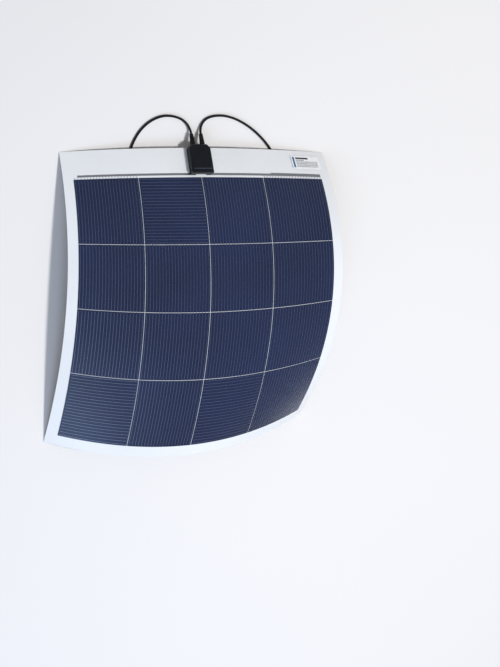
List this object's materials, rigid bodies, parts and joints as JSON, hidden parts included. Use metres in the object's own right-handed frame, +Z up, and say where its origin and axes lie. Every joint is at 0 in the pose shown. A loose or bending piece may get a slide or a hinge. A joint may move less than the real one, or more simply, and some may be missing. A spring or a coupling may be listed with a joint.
{
  "type": "flexible solar sheet",
  "caption": "Thin flexible solar panel of dark blue square cells on a white laminate, bent into a shallow arch, with a junction box and two connector cables.",
  "frame": {"origin": "on the floor below the middle of the sheet", "axes": "+Z up, out of the cell side; +X across the sheet's width; +Y towards the edge with the junction box"},
  "size_m": [0.6876, 0.769, 0.1298],
  "materials": {
    "silicon_cell": "satin",
    "tinned_copper": "satin",
    "plated_contact": "satin",
    "white_backsheet": "matte",
    "encapsulant": "gloss",
    "front_film": "satin",
    "label_film": "satin",
    "silicone": "matte",
    "black_rubber": "matte",
    "cable_sheath": "satin",
    "strap_plastic": "satin",
    "diode_case": "satin",
    "black_plastic": "satin"
  },
  "bodies": {
    "sheet": {"backsheet": "white_backsheet", "box_adhesive_pad": "silicone", "bus_ribbon_left": "tinned_copper", "bus_ribbon_right": "tinned_copper", "bypass_diode": "diode_case", "cable_left": "cable_sheath", "cable_right": "cable_sheath", "cable_seals": "black_rubber", "cell_row1_column1": "silicon_cell", "cell_row1_column2": "silicon_cell", "cell_row1_column3": "silicon_cell", "cell_row1_column4": "silicon_cell", "cell_row2_column1": "silicon_cell", "cell_row2_column2": "silicon_cell", "cell_row2_column3": "silicon_cell", "cell_row2_column4": "silicon_cell", "cell_row3_column1": "silicon_cell", "cell_row3_column2": "silicon_cell", "cell_row3_column3": "silicon_cell", "cell_row3_column4": "silicon_cell", "cell_row4_column1": "silicon_cell", "cell_row4_column2": "silicon_cell", "cell_row4_column3": "silicon_cell", "cell_row4_column4": "silicon_cell", "coil_left": "cable_sheath", "coil_right": "cable_sheath", "coil_ties": "strap_plastic", "front_encapsulant": "encapsulant", "front_film": "front_film", "junction_box_base": "black_plastic", "output_leads": "tinned_copper", "pin_contact": "plated_contact", "plug_housing": "black_plastic", "rear_encapsulant": "encapsulant", "socket_contact": "plated_contact", "socket_housing": "black_plastic", "strain_relief_left": "black_rubber", "strain_relief_right": "black_rubber", "terminals": "plated_contact", "type_label": "label_film", "wires_at_both_ends": "tinned_copper", "wires_cell01_to_cell02": "tinned_copper", "wires_cell02_to_cell03": "tinned_copper", "wires_cell03_to_cell04": "tinned_copper", "wires_cell04_to_cell05": "tinned_copper", "wires_cell05_to_cell06": "tinned_copper", "wires_cell06_to_cell07": "tinned_copper", "wires_cell07_to_cell08": "tinned_copper", "wires_cell08_to_cell09": "tinned_copper", "wires_cell09_to_cell10": "tinned_copper", "wires_cell10_to_cell11": "tinned_copper", "wires_cell11_to_cell12": "tinned_copper", "wires_cell12_to_cell13": "tinned_copper", "wires_cell13_to_cell14": "tinned_copper", "wires_cell14_to_cell15": "tinned_copper", "wires_cell15_to_cell16": "tinned_copper"},
    "lid": {"junction_box_lid": "black_plastic", "junction_box_gasket": "black_rubber"},
    "plug_nut": {"plug_cap_nut": "black_plastic"},
    "socket_nut": {"socket_cap_nut": "black_plastic"}
  },
  "joints": [
    {"name": "lid_lift", "type": "slide", "parent": "sheet", "child": "lid", "axis": [-0.0068, 0.4567, 0.8896], "range_m": [0, 0.03]},
    {"name": "plug_nut_turn", "type": "hinge", "parent": "sheet", "child": "plug_nut", "pos_m": [-0.04, 0.233, 0.0097], "axis": [-1, 0, 0], "range_deg": [0, 360]},
    {"name": "socket_nut_turn", "type": "hinge", "parent": "sheet", "child": "socket_nut", "pos_m": [0.122, 0.22, 0.0097], "axis": [1, 0, 0], "range_deg": [0, 360]}
  ]
}
